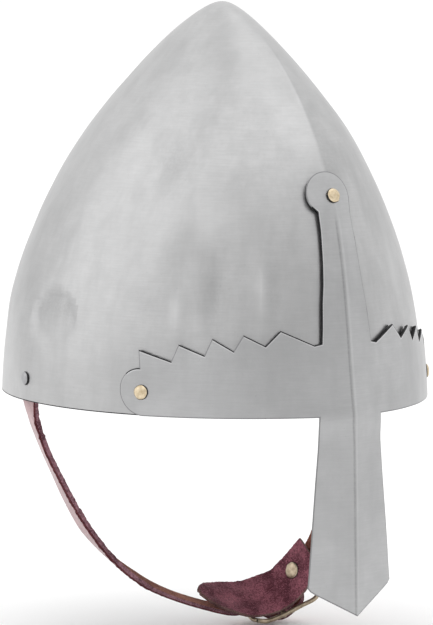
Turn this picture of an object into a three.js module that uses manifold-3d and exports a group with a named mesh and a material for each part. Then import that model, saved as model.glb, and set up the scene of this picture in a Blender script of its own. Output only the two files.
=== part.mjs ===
// Nasal helmet: a ridged pointed skull, a riveted brow plate that runs down into a nose guard,
// and a buckled leather chin strap. Millimetres, +Z up, the wearer faces -Y and the wearer's
// left is +X. The origin is the middle of the head opening, in the plane of the rim.
import * as THREE from 'three';
import { mergeVertices } from 'three/addons/utils/BufferGeometryUtils.js';
import { TessellateModifier } from 'three/addons/modifiers/TessellateModifier.js';
import Module from 'manifold-3d';

const wasm = await Module();
wasm.setup();

// ---- Skull -------------------------------------------------------------------------------
const HALF_WIDTH = 101.6;
const HALF_LENGTH = 116;
const SKULL_HEIGHT = 195.7;
const SHEET = 1.6;
const KEEL = 6.6;             // how far the front ridge stands forward of the oval
const APEX_SHIFT = -9.9;      // the point sits forward of the middle
const KEEL_FADE = 0.15;       // share of the height over which the ridge fades at the point
const SIDE_CURVE = [0.60, -0.96, 5.43, -5.22, 1.15];
const FRONT_CURVE = [0.59, 1.51, 1.52, -5.50, 2.88];
const SKULL_COLUMNS = 64;
const SKULL_ROWS = [0, 0.03, 0.06, 0.1, 0.15, 0.2, 0.26, 0.33, 0.4, 0.47, 0.54, 0.61, 0.68, 0.74,
  0.8, 0.855, 0.905, 0.95, 0.98, 1];

// ---- Brow plate, nose guard and stem: half outline, arc distance from the ridge and height ---
const PLATE_GAP = 0.4;
const TAB_RADIUS = 11.2;
const TAB_ARC = 101.4;
const STEM_HEAD_RADIUS = 11.8;
const STEM_HEAD_HEIGHT = 102.7;
const STEM_NECK = [9.1, 95.2];
const STEM_SIDE = [[14.2, 34.5], [13.5, 41.5], [12.6, 53], [11.4, 62], [10.6, 71], [10, 79], [9.4, 87]];
// each tooth: valley, then tip, from the stem outwards
const TEETH = [[17.6, 33.8], [33.3, 40.9], [40.8, 33.9], [50.6, 38.9], [55.7, 31.5], [65.2, 37.2],
  [69.4, 29.3], [81.3, 34.1], [85.5, 26.1], [101.4, 31]];
const NOSE_TOP_HALF = 17.8;
const NOSE_LOW_HALF = 24.8;
const NOSE_LOW = -79;
const NOSE_CORNER = [20.6, -84];
const NOSE_TIP = -95;
const NOSE_FOLD = 15.5;       // degrees each half is folded back from flat
const NOSE_LEAN = 0.03;       // forward lean, going down
const NOSE_BLEND = 14;        // height over which the brow curve turns into the flat halves

// ---- Rivets ------------------------------------------------------------------------------
const SHANK = 1.5;
const HOLE = 1.85;
const RIVET_GAP = 0.25;
const BRASS_HEAD = 3.6;
const STEEL_HEAD = 3.4;
const HEAD_RISE = 1.7;
const CLINCH_RADIUS = 3.2;
const CLINCH = 1.1;
const CHAFE_HEAD = 4.5;
const STRAP_RIVET_ANGLE = 1.665;
const STRAP_RIVET_HEIGHT = 11.1;

// ---- Chin strap: centre line x, y, z and the lean of its width (x and z for 1 of y) --------
const STRAP_WIDTH = 14;
const LEATHER = 2.4;
const FREE_SWELL = 0.8;       // how much thicker the long strap is where it hangs free
const LONG_RUN = [
  [-97.4, 12, 20, 0.09, 0], [-97.7, 12, 11, 0.09, 0], [-97.4, 13.2, 1, 0.12, 0],
  [-94.6, 14.8, -9, 0.3, 0.1], [-88.2, 15.5, -24.5, 0.31, 0.18], [-80.5, 15.5, -39.6, 0.25, 0.18],
  [-72.5, 15.5, -54.4, 0.15, 0.2], [-62.2, 15.5, -70, 0.02, 0.22], [-46.7, 16.5, -85.8, 0.1, 0.24],
  [-30.3, 18, -97.5, 0.2, 0.24], [-17.4, 20, -104.3, 0.14, 0.2], [-3.9, 22, -110.1, 0.08, 0.17],
  [9.4, 23.5, -114.9, 0.02, 0.17], [18.5, 24.6, -117.8, 0, 0.18], [28, 26, -120, 0, 0.2],
];
const SHORT_RUN = [
  [71.4, 9, -91, -0.05, 0.56], [75, 6.4, -81, -0.06, 0.48], [81, 6, -63.5, -0.12, 0.35],
  [87.8, 8, -42, -0.2, 0.2], [93.6, 11, -20, -0.16, 0.1], [96.7, 12, -5, -0.1, 0],
  [97.7, 12, 11, -0.09, 0], [97.4, 12, 20, -0.09, 0],
];
const LEAF_RUN = [
  [9, 23.8, -108.2, 0, 0.72], [14, 24.4, -109.6, 0, 0.74], [25, 24.8, -112.9, 0, 0.76],
  [38.8, 24.6, -115.5, 0, 0.77], [51.2, 22.8, -113.8, -0.01, 0.76], [57.8, 19.4, -110.2, -0.03, 0.72],
  [61.2, 15.2, -104.9, -0.05, 0.67], [63.4, 11.2, -99.6, -0.05, 0.66], [66.6, 5.2, -91.4, -0.05, 0.62],
];
const LEAF = 1.8;
const LEAF_RIVET_SHARE = 0.81;
const LEAF_RIVET_SIDE = 2;
const LEAF_HALF = [3, 7, 10.4, 12.5, 12.8, 12.4, 12.1, 11.8, 11.6];

// ---- Buckle: centre line of the arched frame ----------------------------------------------
const BUCKLE_RUN = [
  [41, 28, -122.6, 0, 0.22], [47.6, 26.6, -122.6, 0, 0.22], [57, 23.6, -118.4, 0, 0.24],
  [65.2, 18.8, -113.2, 0, 0.24], [73.2, 14.4, -108.2, 0, 0.26],
];
const BUCKLE_HALF = 13.4;
const BUCKLE_WIRE = 1.2;
const BAR_RADIUS = 1.1;
const BAR_DROP = 1;           // the middle bar is bowed outwards this far
const TONGUE_WIRE = 0.9;

const steel = { color: 0xc3c5c8, roughness: 0.34, metalness: 1 };
const plateSteel = { color: 0xb4b6ba, roughness: 0.36, metalness: 1 };
const brass = { color: 0xcdb487, roughness: 0.36, metalness: 1 };
const paleBrass = { color: 0xbfa982, roughness: 0.4, metalness: 1 };
const leather = { color: 0x8a5157, roughness: 0.55, metalness: 0 };
const suede = { color: 0x6b3d47, roughness: 0.95, metalness: 0 };

const group = new THREE.Group();
group.name = 'nasal_helmet';
const V = (x, y, z) => new THREE.Vector3(x, y, z);
const smooth = (a) => {
  const c = Math.min(Math.max(a, 0), 1);
  return c * c * (3 - 2 * c);
};

function addPiece(name, geometry, finish) {
  const shaped = geometry.index ? geometry : mergeVertices(geometry, 1e-4);
  shaped.computeVertexNormals();
  const mesh = new THREE.Mesh(shaped, new THREE.MeshStandardMaterial(finish));
  mesh.name = name;
  group.add(mesh);
}

// ---- Solids for cutting ---------------------------------------------------------------------
function toManifold(geometry) {
  const bare = geometry.clone();
  bare.deleteAttribute('normal');
  bare.deleteAttribute('uv');
  const welded = mergeVertices(bare, 1e-4);
  const mesh = new wasm.Mesh({
    numProp: 3,
    vertProperties: new Float32Array(welded.attributes.position.array),
    triVerts: new Uint32Array(welded.index.array),
  });
  mesh.merge();
  return new wasm.Manifold(mesh);
}

function toGeometry(solid) {
  const mesh = solid.getMesh();
  const geometry = new THREE.BufferGeometry();
  geometry.setAttribute('position', new THREE.BufferAttribute(new Float32Array(mesh.vertProperties), 3));
  geometry.setIndex(new THREE.BufferAttribute(new Uint32Array(mesh.triVerts), 1));
  return geometry;
}

function drill(geometry, cutters) {
  let solid = toManifold(geometry);
  for (const cutter of cutters) {
    solid = solid.subtract(toManifold(cutter));
  }
  return toGeometry(solid);
}

// Moves a shape drawn round the +Y axis so that +Y points along the axis from a place.
function standOn(geometry, place, axis) {
  const turn = new THREE.Quaternion().setFromUnitVectors(V(0, 1, 0), axis.clone().normalize());
  geometry.applyQuaternion(turn);
  geometry.translate(place.x, place.y, place.z);
  return geometry;
}

function holeAt(place, axis, reach) {
  return standOn(new THREE.CylinderGeometry(HOLE, HOLE, reach, 20), place, axis);
}

// ---- The skull's form -----------------------------------------------------------------------
function curveAt(terms, t) {
  return terms.reduce((sum, term, power) => sum + term * t ** (power + 1), 0);
}

// Point on the outside of the skull: turn is measured from the front ridge, + to the wearer's left.
function skullPoint(turn, z) {
  const t = Math.sqrt(Math.max(1 - z / SKULL_HEIGHT, 0));
  const wide = curveAt(SIDE_CURVE, t);
  const deep = curveAt(FRONT_CURVE, t);
  const front = Math.cos(turn);
  const side = Math.abs(Math.sin(turn));
  const keel = front > 0 ? KEEL * smooth(t * t / KEEL_FADE) * (1 - side) ** 2 : 0;
  const y = -(HALF_LENGTH * front + keel);
  return V(HALF_WIDTH * Math.sin(turn) * wide, APEX_SHIFT * (1 - deep) + y * deep, z);
}

// Outward direction, one-sided at the front ridge; there it is stretched so that offsets stay parallel.
function skullNormal(turn, z) {
  const small = 1e-3;
  const top = SKULL_HEIGHT - 0.02;
  const low = Math.min(z, top);
  const step = turn >= 0 ? small : -small;
  const here = skullPoint(turn, low);
  const along = skullPoint(turn + step, low).sub(here).multiplyScalar(Math.sign(step));
  const rise = skullPoint(turn, low + small).sub(skullPoint(turn, low - small));
  const normal = along.cross(rise).normalize();
  if (Math.abs(turn) > 1e-6) {
    return normal;
  }
  const ridge = V(0, normal.y, normal.z).normalize();
  return ridge.divideScalar(Math.max(ridge.dot(normal), 0.8));
}

function onSkull(turn, z, offset) {
  return skullPoint(turn, z).addScaledVector(skullNormal(turn, z), offset);
}

// Turn angle reached after walking an arc distance round the skull at one height.
function turnAt(arc, z) {
  const step = 0.01;
  let turn = 0;
  let walked = 0;
  while (walked < Math.abs(arc)) {
    const stride = skullPoint(turn + step, z).distanceTo(skullPoint(turn, z));
    const share = Math.min((Math.abs(arc) - walked) / stride, 1);
    turn += step * share;
    walked += stride;
  }
  return Math.sign(arc) * turn;
}

function skullShell() {
  const rows = SKULL_ROWS.length;
  const profile = [];
  for (let i = 0; i < 2 * rows; i += 1) {
    const inside = i >= rows;
    const row = inside ? 2 * rows - 1 - i : i;
    const radius = row === 0 ? 0 : SKULL_ROWS[row] * 100 + (inside ? 0 : 5);
    profile.push(new THREE.Vector2(radius, i));
  }
  const shell = new THREE.LatheGeometry(profile, SKULL_COLUMNS);
  const position = shell.attributes.position;
  const uv = shell.attributes.uv;
  for (let i = 0; i < position.count; i += 1) {
    const line = Math.round(uv.getY(i) * (2 * rows - 1));
    const inside = line >= rows;
    const t = SKULL_ROWS[inside ? 2 * rows - 1 - line : line];
    const column = Math.round(uv.getX(i) * SKULL_COLUMNS) % SKULL_COLUMNS;
    const turn = -2 * Math.PI * (column > SKULL_COLUMNS / 2 ? column - SKULL_COLUMNS : column) / SKULL_COLUMNS;
    const z = SKULL_HEIGHT * (1 - t * t);
    let point = skullPoint(turn, z);
    if (inside) {
      point = t === 0 ? V(0, APEX_SHIFT, z - SHEET) : onSkull(turn, z, -SHEET);
      if (t === 1) {
        point.z = 0;
      }
    }
    position.setXYZ(i, point.x, point.y, point.z);
  }
  return shell;
}

// ---- Sheet metal: a flat half outline, mirrored, bent and given thickness --------------------
function sheetSolid(outline, longest, place) {
  let flat = new THREE.ShapeGeometry(outline, 10).toNonIndexed();
  flat = new TessellateModifier(longest, 14).modify(flat);
  flat.deleteAttribute('normal');
  flat.deleteAttribute('uv');
  flat = mergeVertices(flat, 1e-3);
  const points = [];
  const triangles = [];
  const numbers = new Map();
  const numberOf = (x, z) => {
    const key = `${x.toFixed(3)} ${z.toFixed(3)}`.replace('-0.000', '0.000');
    if (!numbers.has(key)) {
      numbers.set(key, points.length);
      points.push([x, z]);
    }
    return numbers.get(key);
  };
  const { position } = flat.attributes;
  const { index } = flat;
  for (let i = 0; i < index.count; i += 3) {
    const corner = [0, 1, 2].map((k) => index.getX(i + k));
    const right = corner.map((n) => numberOf(position.getX(n), position.getY(n)));
    const left = corner.map((n) => numberOf(-position.getX(n), position.getY(n)));
    if (new Set(right).size === 3) {
      triangles.push(right, [left[0], left[2], left[1]]);
    }
  }
  const edges = new Map();
  for (const [a, b, c] of triangles) {
    for (const [from, to] of [[a, b], [b, c], [c, a]]) {
      edges.set(`${from} ${to}`, [from, to]);
    }
  }
  const count = points.length;
  const corners = [];
  for (const side of [1, 0]) {
    for (const [x, z] of points) {
      corners.push(...place(x, z, side).toArray());
    }
  }
  const faces = [];
  for (const [a, b, c] of triangles) {
    faces.push(a, b, c, a + count, c + count, b + count);
  }
  for (const [from, to] of edges.values()) {
    if (!edges.has(`${to} ${from}`)) {
      faces.push(from, to + count, to, from, from + count, to + count);
    }
  }
  const solid = new THREE.BufferGeometry();
  solid.setAttribute('position', new THREE.Float32BufferAttribute(corners, 3));
  solid.setIndex(faces);
  return solid;
}

function browOutline() {
  const outline = new THREE.Shape();
  outline.moveTo(0, NOSE_TIP);
  outline.lineTo(NOSE_CORNER[0], NOSE_CORNER[1]);
  outline.quadraticCurveTo(NOSE_LOW_HALF + 0.2, NOSE_LOW - 3, NOSE_LOW_HALF, NOSE_LOW);
  outline.lineTo(NOSE_TOP_HALF, 0);
  outline.lineTo(TAB_ARC, 0);
  outline.absarc(TAB_ARC, TAB_RADIUS, TAB_RADIUS, -Math.PI / 2, Math.PI / 2, false);
  for (const [arc, z] of [...TEETH].reverse()) {
    outline.lineTo(arc, z);
  }
  for (const [arc, z] of STEM_SIDE) {
    outline.lineTo(arc, z);
  }
  outline.lineTo(STEM_NECK[0], STEM_NECK[1]);
  const neck = Math.atan2(STEM_NECK[1] - STEM_HEAD_HEIGHT, STEM_NECK[0]);
  outline.absarc(0, STEM_HEAD_HEIGHT, STEM_HEAD_RADIUS, neck, Math.PI / 2, false);
  outline.lineTo(0, STEM_HEAD_HEIGHT + HOLE);
  outline.absarc(0, STEM_HEAD_HEIGHT, HOLE, Math.PI / 2, -Math.PI / 2, true);
  outline.closePath();
  const hole = new THREE.Path();
  hole.absarc(TAB_ARC, TAB_RADIUS, HOLE, 0, 2 * Math.PI, true);
  outline.holes.push(hole);
  return outline;
}

// Where a point of the flat brow plate goes: round the skull above the rim, folded below it.
function browPlace(arc, z, side) {
  const offset = PLATE_GAP + (side === 1 ? SHEET : 0);
  const held = Math.max(z, 0);
  const turn = turnAt(arc, held);
  const onBrow = onSkull(turn, held, offset);
  if (z >= 0) {
    return onBrow;
  }
  const fold = THREE.MathUtils.degToRad(NOSE_FOLD);
  const front = onSkull(0, 0, 0).y - offset / Math.cos(fold) + NOSE_LEAN * z;
  const flat = V(arc * Math.cos(fold), front + Math.abs(arc) * Math.sin(fold), z);
  onBrow.z = z;
  return onBrow.lerp(flat, smooth(-z / NOSE_BLEND));
}

// ---- Rivets -----------------------------------------------------------------------------------
function rivet(grip, headRadius, rise) {
  const profile = [[0, rise]];
  for (const [r, h] of [[0.5, 0.93], [0.8, 0.68], [0.95, 0.36], [1, 0.12], [0.96, 0]]) {
    profile.push([headRadius * r, rise * h]);
  }
  profile.push([SHANK, 0], [SHANK, -grip], [CLINCH_RADIUS, -grip], [CLINCH_RADIUS * 0.92, -grip - CLINCH]);
  profile.push([0, -grip - CLINCH]);
  return new THREE.LatheGeometry(profile.map(([r, h]) => new THREE.Vector2(r, h)).reverse(), 20);
}

// ---- Leather and wire that follow a run -------------------------------------------------------
function makeRun(points) {
  const curve = new THREE.CatmullRomCurve3(points.map(([x, y, z]) => V(x, y, z)), false, 'centripetal');
  const last = points.length - 1;
  return {
    length: curve.getLength(),
    at(share) {
      const t = Math.min(Math.max(share, 0), 1);
      const place = t * last;
      const k = Math.min(Math.floor(place), last - 1);
      const mix = place - k;
      const lean = [3, 4].map((n) => points[k][n] * (1 - mix) + points[k + 1][n] * mix);
      const along = curve.getTangent(t);
      const across = V(lean[0], 1, lean[1]);
      across.addScaledVector(along, -across.dot(along)).normalize();
      const inward = along.clone().cross(across).normalize();
      return { point: curve.getPoint(t), along, across, inward };
    },
  };
}

function onRun(run, share, sideways, inward) {
  const frame = run.at(share);
  return frame.point.addScaledVector(frame.across, sideways).addScaledVector(frame.inward, inward);
}

// A flat strip bent along a run: thickAt and halfAt give its thickness and half width along it.
function strip(run, stations, rows, thickAt, halfAt) {
  const solid = new THREE.BoxGeometry(1, 1, 1, stations.length - 1, rows, 1);
  const { position } = solid.attributes;
  for (let i = 0; i < position.count; i += 1) {
    const station = Math.round((position.getX(i) + 0.5) * (stations.length - 1));
    const share = stations[station];
    const half = halfAt(share);
    const point = onRun(run, share, 2 * half * position.getY(i), thickAt(share) * position.getZ(i));
    position.setXYZ(i, point.x, point.y, point.z);
  }
  return solid;
}

// Shares of a run, close together where it turns quickly and never further apart than the longest.
function stationsOn(run, longest, bend) {
  const shares = [0];
  let last = run.at(0);
  for (let i = 1; i < 1200; i += 1) {
    const next = run.at(i / 1200);
    if (next.point.distanceTo(last.point) > longest || next.along.angleTo(last.along) > bend) {
      shares.push(i / 1200);
      last = next;
    }
  }
  return [...shares, 1];
}

// Round wire through given places.
function wire(places, radius, closed, steps) {
  const curve = new THREE.CatmullRomCurve3(places, closed, 'centripetal');
  const section = new THREE.Shape();
  section.absarc(0, 0, radius, 0, 2 * Math.PI, false);
  return new THREE.ExtrudeGeometry(section, { extrudePath: curve, steps, curveSegments: 5, bevelEnabled: false });
}

// ---- Assembly ---------------------------------------------------------------------------------
const strapRivets = [-1, 1].map((side) => {
  const turn = side * STRAP_RIVET_ANGLE;
  return { side, place: onSkull(turn, STRAP_RIVET_HEIGHT, 0), axis: skullNormal(turn, STRAP_RIVET_HEIGHT) };
});
const browRivets = [-1, 1].map((side) => {
  const turn = turnAt(side * TAB_ARC, TAB_RADIUS);
  return { side, place: onSkull(turn, TAB_RADIUS, 0), axis: skullNormal(turn, TAB_RADIUS) };
});
const stemRivet = { place: onSkull(0, STEM_HEAD_HEIGHT, 0), axis: skullNormal(0, STEM_HEAD_HEIGHT).normalize() };

const skullHoles = [...strapRivets, ...browRivets, stemRivet].map(({ place, axis }) => holeAt(place, axis, 14));
addPiece('skull', drill(skullShell(), skullHoles), steel);
addPiece('brow_plate', sheetSolid(browOutline(), 15, browPlace), plateSteel);

const plateOutside = PLATE_GAP + SHEET + RIVET_GAP;
const plateGrip = plateOutside + SHEET + RIVET_GAP;
function seatRivet(name, { place, axis }, lift, grip, headRadius, finish) {
  const seat = place.clone().addScaledVector(axis, lift);
  addPiece(name, standOn(rivet(grip, headRadius, HEAD_RISE), seat, axis), finish);
}
seatRivet('rivet_stem', stemRivet, plateOutside + 0.15, plateGrip + 1.1, BRASS_HEAD, brass);
for (const spot of browRivets) {
  seatRivet(spot.side < 0 ? 'rivet_brow_right' : 'rivet_brow_left', spot, plateOutside, plateGrip, BRASS_HEAD, brass);
}
const strapGrip = RIVET_GAP + SHEET + 0.6 + LEATHER + RIVET_GAP + 0.3;
for (const spot of strapRivets) {
  seatRivet(spot.side < 0 ? 'rivet_strap_right' : 'rivet_strap_left', spot, RIVET_GAP, strapGrip, STEEL_HEAD, steel);
}

// Buckle: two side rails joined by the end bars, and a plain bar across the middle.
const buckle = makeRun(BUCKLE_RUN);
function frameWire() {
  const places = [];
  const corner = 0.06;
  for (const [share, side] of [[corner, -1], [0.25, -1], [0.5, -1], [0.75, -1], [1 - corner, -1], [1, -0.82],
    [1, 0], [1, 0.82], [1 - corner, 1], [0.75, 1], [0.5, 1], [0.25, 1], [corner, 1], [0, 0.82], [0, 0], [0, -0.82]]) {
    places.push(onRun(buckle, share, side * BUCKLE_HALF, 0));
  }
  return wire(places, BUCKLE_WIRE, true, 64);
}
const bar = buckle.at(0.5);
bar.point.addScaledVector(bar.inward, -BAR_DROP);
const rod = standOn(new THREE.CylinderGeometry(BAR_RADIUS, BAR_RADIUS, 2 * BUCKLE_HALF, 12), bar.point, bar.across);
addPiece('buckle_frame', toGeometry(toManifold(frameWire()).add(toManifold(rod))), paleBrass);
// A place in the middle bar's own section: along the strap and inwards from the bar's centre.
const nearBar = (along, inward) => bar.point.clone()
  .addScaledVector(bar.along, along).addScaledVector(bar.inward, inward);
// Lean numbers of a run that keep a frame's own width direction.
const leanOf = ({ across }) => [across.x / across.y, across.z / across.y];

// Tongue: hooked round the middle bar, its tip resting on the first end bar.
const hook = BAR_RADIUS + 0.25 + TONGUE_WIRE;
const tonguePlaces = [
  ...[50, 90, 130, 175].map((angle) => {
    const a = THREE.MathUtils.degToRad(angle);
    return nearBar(hook * Math.cos(a), hook * Math.sin(a));
  }),
  onRun(buckle, 0.34, 0, -2.4), onRun(buckle, 0.16, 0, -2.8), onRun(buckle, 0.01, 0, -2.5),
];
addPiece('buckle_tongue', wire(tonguePlaces, TONGUE_WIRE, false, 26), paleBrass);
const tongueRoom = wire(tonguePlaces, TONGUE_WIRE + 0.4, false, 26);

// Long strap: down from the wearer's right, inside the first end bar, then over the fold.
const LONG_WEAVE = [[0, 2.8], [0.18, 2], [0.34, -2.4], [0.46, -6.2], [0.56, -6.6], [0.7, -4.6], [0.84, -1.8]];
const longRun = makeRun([...LONG_RUN, ...LONG_WEAVE.map(([share, inward]) => [
  ...onRun(buckle, share, 0, inward).toArray(), ...leanOf(buckle.at(share))])]);
const longHalf = (share) => {
  const left = (1 - share) * longRun.length;
  const nose = STRAP_WIDTH / 2;
  return left > nose ? nose : Math.max(Math.sqrt(nose ** 2 - (nose - left) ** 2), 2.5);
};
const longThick = (share) => LEATHER + FREE_SWELL * smooth((share - 0.06) / 0.1) * smooth((0.5 - share) / 0.12);
const longStrip = strip(longRun, stationsOn(longRun, 6, 0.12), 2, longThick, longHalf);
const rightHole = holeAt(strapRivets[0].place, strapRivets[0].axis, 16);
addPiece('strap_long', drill(longStrip, [rightHole, tongueRoom]), leather);

// Short strap: its end lies under the leaf, turns round the middle bar and climbs to the wearer's left.
const leaf = makeRun(LEAF_RUN);
const leafRivet = leaf.at(LEAF_RIVET_SHARE);
leafRivet.point.addScaledVector(leafRivet.across, LEAF_RIVET_SIDE);
const underLeaf = (ahead, layers) => leafRivet.point.clone()
  .addScaledVector(leafRivet.inward, -(LEAF / 2 + 0.3 + layers * (LEATHER + 0.3) - LEATHER / 2))
  .addScaledVector(leafRivet.along, ahead);
const foldRadius = BAR_RADIUS + 0.3 + LEATHER / 2;
const foldPlaces = [4, 0].map((reach) => nearBar(reach, foldRadius));
for (const angle of [135, 180, 225]) {
  const a = THREE.MathUtils.degToRad(angle);
  foldPlaces.push(nearBar(foldRadius * Math.cos(a), foldRadius * Math.sin(a)));
}
foldPlaces.push(nearBar(0, -foldRadius), nearBar(4, -foldRadius + 0.4));
const shortRun = makeRun([
  ...[7, 0].map((ahead) => [...underLeaf(ahead, 1).toArray(), ...leanOf(leafRivet)]),
  ...foldPlaces.map((place) => [...place.toArray(), ...leanOf(bar)]),
  [...underLeaf(0, 2).toArray(), ...leanOf(leafRivet)],
  ...SHORT_RUN,
]);
const leftHole = holeAt(strapRivets[1].place, strapRivets[1].axis, 16);
const leafHole = holeAt(leafRivet.point, leafRivet.inward, 26);
const shortStrip = strip(shortRun, stationsOn(shortRun, 6, 0.2), 2, () => LEATHER, () => STRAP_WIDTH / 2);
addPiece('strap_short', drill(shortStrip, [leftHole, leafHole, tongueRoom]), leather);

// Chafe leaf: the broad suede tongue that keeps the buckle off the chin.
const leafHalf = (share) => {
  const place = Math.min(share, 1) * (LEAF_HALF.length - 1);
  const k = Math.min(Math.floor(place), LEAF_HALF.length - 2);
  return LEAF_HALF[k] + (LEAF_HALF[k + 1] - LEAF_HALF[k]) * (place - k);
};
addPiece('chafe', drill(strip(leaf, stationsOn(leaf, 3.5, 0.12), 6, () => LEAF, leafHalf), [leafHole]), suede);
const leafGrip = LEAF + 2 * (LEATHER + 0.3) + 2 * RIVET_GAP + 0.8;
const leafSeat = leafRivet.point.clone().addScaledVector(leafRivet.inward, LEAF / 2 + RIVET_GAP);
addPiece('rivet_chafe', standOn(rivet(leafGrip, CHAFE_HEAD, 0.9), leafSeat, leafRivet.inward), paleBrass);

export default group;
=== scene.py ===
# %% [markdown]
# # A riveted nasal helmet, piece by piece
# The real thing is a pointed steel skull with a ridge down its front, a brow plate with a saw
# edge that runs up into a riveted stem and down into a nose guard, and a chin strap of purple
# leather with a buckle on a suede leaf. Here each of these is modelled with Blender's own mesh
# operators round a fixed frame that comes from the CAD model. The wearer faces -Y, the wearer's
# left is +X, and the origin is the middle of the opening for the head.

# %% The fixed frame
import math
from functools import lru_cache

import bmesh
import bpy
from mathutils import Matrix, Vector, noise


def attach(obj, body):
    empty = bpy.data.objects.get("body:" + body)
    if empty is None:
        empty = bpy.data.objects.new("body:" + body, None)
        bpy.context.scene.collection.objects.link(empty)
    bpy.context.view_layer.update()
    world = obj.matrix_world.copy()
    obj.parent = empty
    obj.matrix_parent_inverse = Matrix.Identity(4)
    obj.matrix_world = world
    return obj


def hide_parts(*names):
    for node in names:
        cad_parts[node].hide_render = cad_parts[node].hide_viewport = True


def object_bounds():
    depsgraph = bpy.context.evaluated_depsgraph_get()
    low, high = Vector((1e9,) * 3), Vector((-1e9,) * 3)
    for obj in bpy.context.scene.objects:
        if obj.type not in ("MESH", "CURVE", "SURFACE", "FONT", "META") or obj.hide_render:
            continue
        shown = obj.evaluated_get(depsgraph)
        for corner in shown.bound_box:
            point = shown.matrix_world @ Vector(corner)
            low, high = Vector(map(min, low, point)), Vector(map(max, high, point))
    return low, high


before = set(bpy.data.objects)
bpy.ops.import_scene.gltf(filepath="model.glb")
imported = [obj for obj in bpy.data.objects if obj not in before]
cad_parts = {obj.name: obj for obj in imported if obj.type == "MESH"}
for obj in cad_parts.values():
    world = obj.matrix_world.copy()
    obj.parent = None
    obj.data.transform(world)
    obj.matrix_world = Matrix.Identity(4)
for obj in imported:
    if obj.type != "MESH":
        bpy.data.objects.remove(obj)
cad_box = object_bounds()
MM = 0.001
print("CAD box, mm:", [[round(c / MM) for c in corner] for corner in cad_box])

# %% [markdown]
# ## The camera
# A long lens from a metre and a half away keeps the upright edges almost parallel. The camera
# stands 33 degrees round to the wearer's right and looks very slightly down. A camera
# looks along its own -Z, so its matrix is made of three directions: right, up and backwards.
# The numbers were found by a fit to the outline of a real helmet and then rounded.

# %% Place the camera
CAMERA_TURN = math.radians(33.42)
CAMERA_RISE = math.radians(5.476)
CAMERA_ROLL = math.radians(0.175)
CAMERA_DISTANCE = 1.5056
CAMERA_AIM = Vector((0.002487, -0.001641, 0.03926))

backwards = Vector((
    -math.sin(CAMERA_TURN) * math.cos(CAMERA_RISE),
    -math.cos(CAMERA_TURN) * math.cos(CAMERA_RISE),
    math.sin(CAMERA_RISE),
))
level = Vector((math.cos(CAMERA_TURN), -math.sin(CAMERA_TURN), 0))
upright = backwards.cross(level)
to_right = level * math.cos(CAMERA_ROLL) + upright * math.sin(CAMERA_ROLL)
to_top = upright * math.cos(CAMERA_ROLL) - level * math.sin(CAMERA_ROLL)

lens = bpy.data.cameras.new("camera")
lens.lens = 171.7
lens.sensor_width = 36
lens.clip_end = 200
camera = bpy.data.objects.new("camera", lens)
bpy.context.scene.collection.objects.link(camera)
camera.matrix_world = Matrix.Translation(CAMERA_AIM + backwards * CAMERA_DISTANCE) @ Matrix(
    (to_right, to_top, backwards)
).transposed().to_4x4()
bpy.context.scene.camera = camera
bpy.context.scene.view_settings.view_transform = "Standard"
print("camera at", [round(c, 3) for c in camera.matrix_world.translation])

# %% [markdown]
# ## Writing finishes as sums
# A finish is a tree of nodes, and a tree is tiring to read as a list of links. One small class
# wraps a socket, so that arithmetic on it adds the Math nodes, and another makes every other
# kind of node from its type, its settings and its sockets.

# %% Sockets that can be added and multiplied
class Signal:
    def __init__(self, finish, socket):
        self.finish = finish
        self.socket = socket

    def worked(self, operation, first, second):
        return self.finish.node("ShaderNodeMath", {"operation": operation}, {0: first, 1: second})

    def __add__(self, other):
        return self.worked("ADD", self, other)

    def __sub__(self, other):
        return self.worked("SUBTRACT", self, other)

    def __rsub__(self, other):
        return self.worked("SUBTRACT", other, self)

    def __mul__(self, other):
        return self.worked("MULTIPLY", self, other)

    __radd__ = __add__
    __rmul__ = __mul__


class Finish:
    def __init__(self, owner):
        owner.use_nodes = True
        self.owner = owner
        self.tree = owner.node_tree
        self.tree.nodes.clear()

    def node(self, kind, settings=None, sockets=None, output=0):
        made = self.tree.nodes.new(kind)
        for name, value in (settings or {}).items():
            if name == "stops":
                ramp = made.color_ramp
                while len(ramp.elements) < len(value):
                    ramp.elements.new(0.5)
                for element, (place, shade) in zip(ramp.elements, value):
                    element.position = place
                    element.color = (*shade, 1) if isinstance(shade, tuple) else (shade,) * 3 + (1,)
            else:
                setattr(made, name, value)
        for key, value in (sockets or {}).items():
            if isinstance(value, Signal):
                self.tree.links.new(value.socket, made.inputs[key])
            else:
                made.inputs[key].default_value = value
        return Signal(self, made.outputs[output])

    def mix(self, mask, low, high):
        low, high = [(*c, 1) if isinstance(c, tuple) else c for c in (low, high)]
        return self.node("ShaderNodeMix", {"data_type": "RGBA"}, {0: mask, 6: low, 7: high}, 2)

    def ramp(self, value, *stops):
        return self.node("ShaderNodeValToRGB", {"stops": stops}, {0: value})

    def noise(self, place, scale, detail=2.0, roughness=0.5):
        return self.node("ShaderNodeTexNoise", {}, {
            "Vector": place, "Scale": scale, "Detail": detail, "Roughness": roughness})

    def place(self, stretch=(1, 1, 1)):
        spot = self.node("ShaderNodeTexCoord", output=3)
        return self.node("ShaderNodeMapping", {}, {"Vector": spot, "Scale": stretch})

    def bump(self, height, distance, strength=1.0, under=None):
        sockets = {"Height": height, "Distance": distance, "Strength": strength}
        if under:
            sockets["Normal"] = under
        return self.node("ShaderNodeBump", {}, sockets)

    def surface(self, **sockets):
        named = {name.replace("_", " "): value for name, value in sockets.items()}
        shader = self.node("ShaderNodeBsdfPrincipled", {}, named)
        self.node_out(shader, "ShaderNodeOutputMaterial")
        return self.owner

    def node_out(self, shader, kind):
        made = self.tree.nodes.new(kind)
        self.tree.links.new(shader.socket, made.inputs["Surface"])


def new_finish(name):
    return Finish(bpy.data.materials.new(name))


print("finish tools ready")

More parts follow.
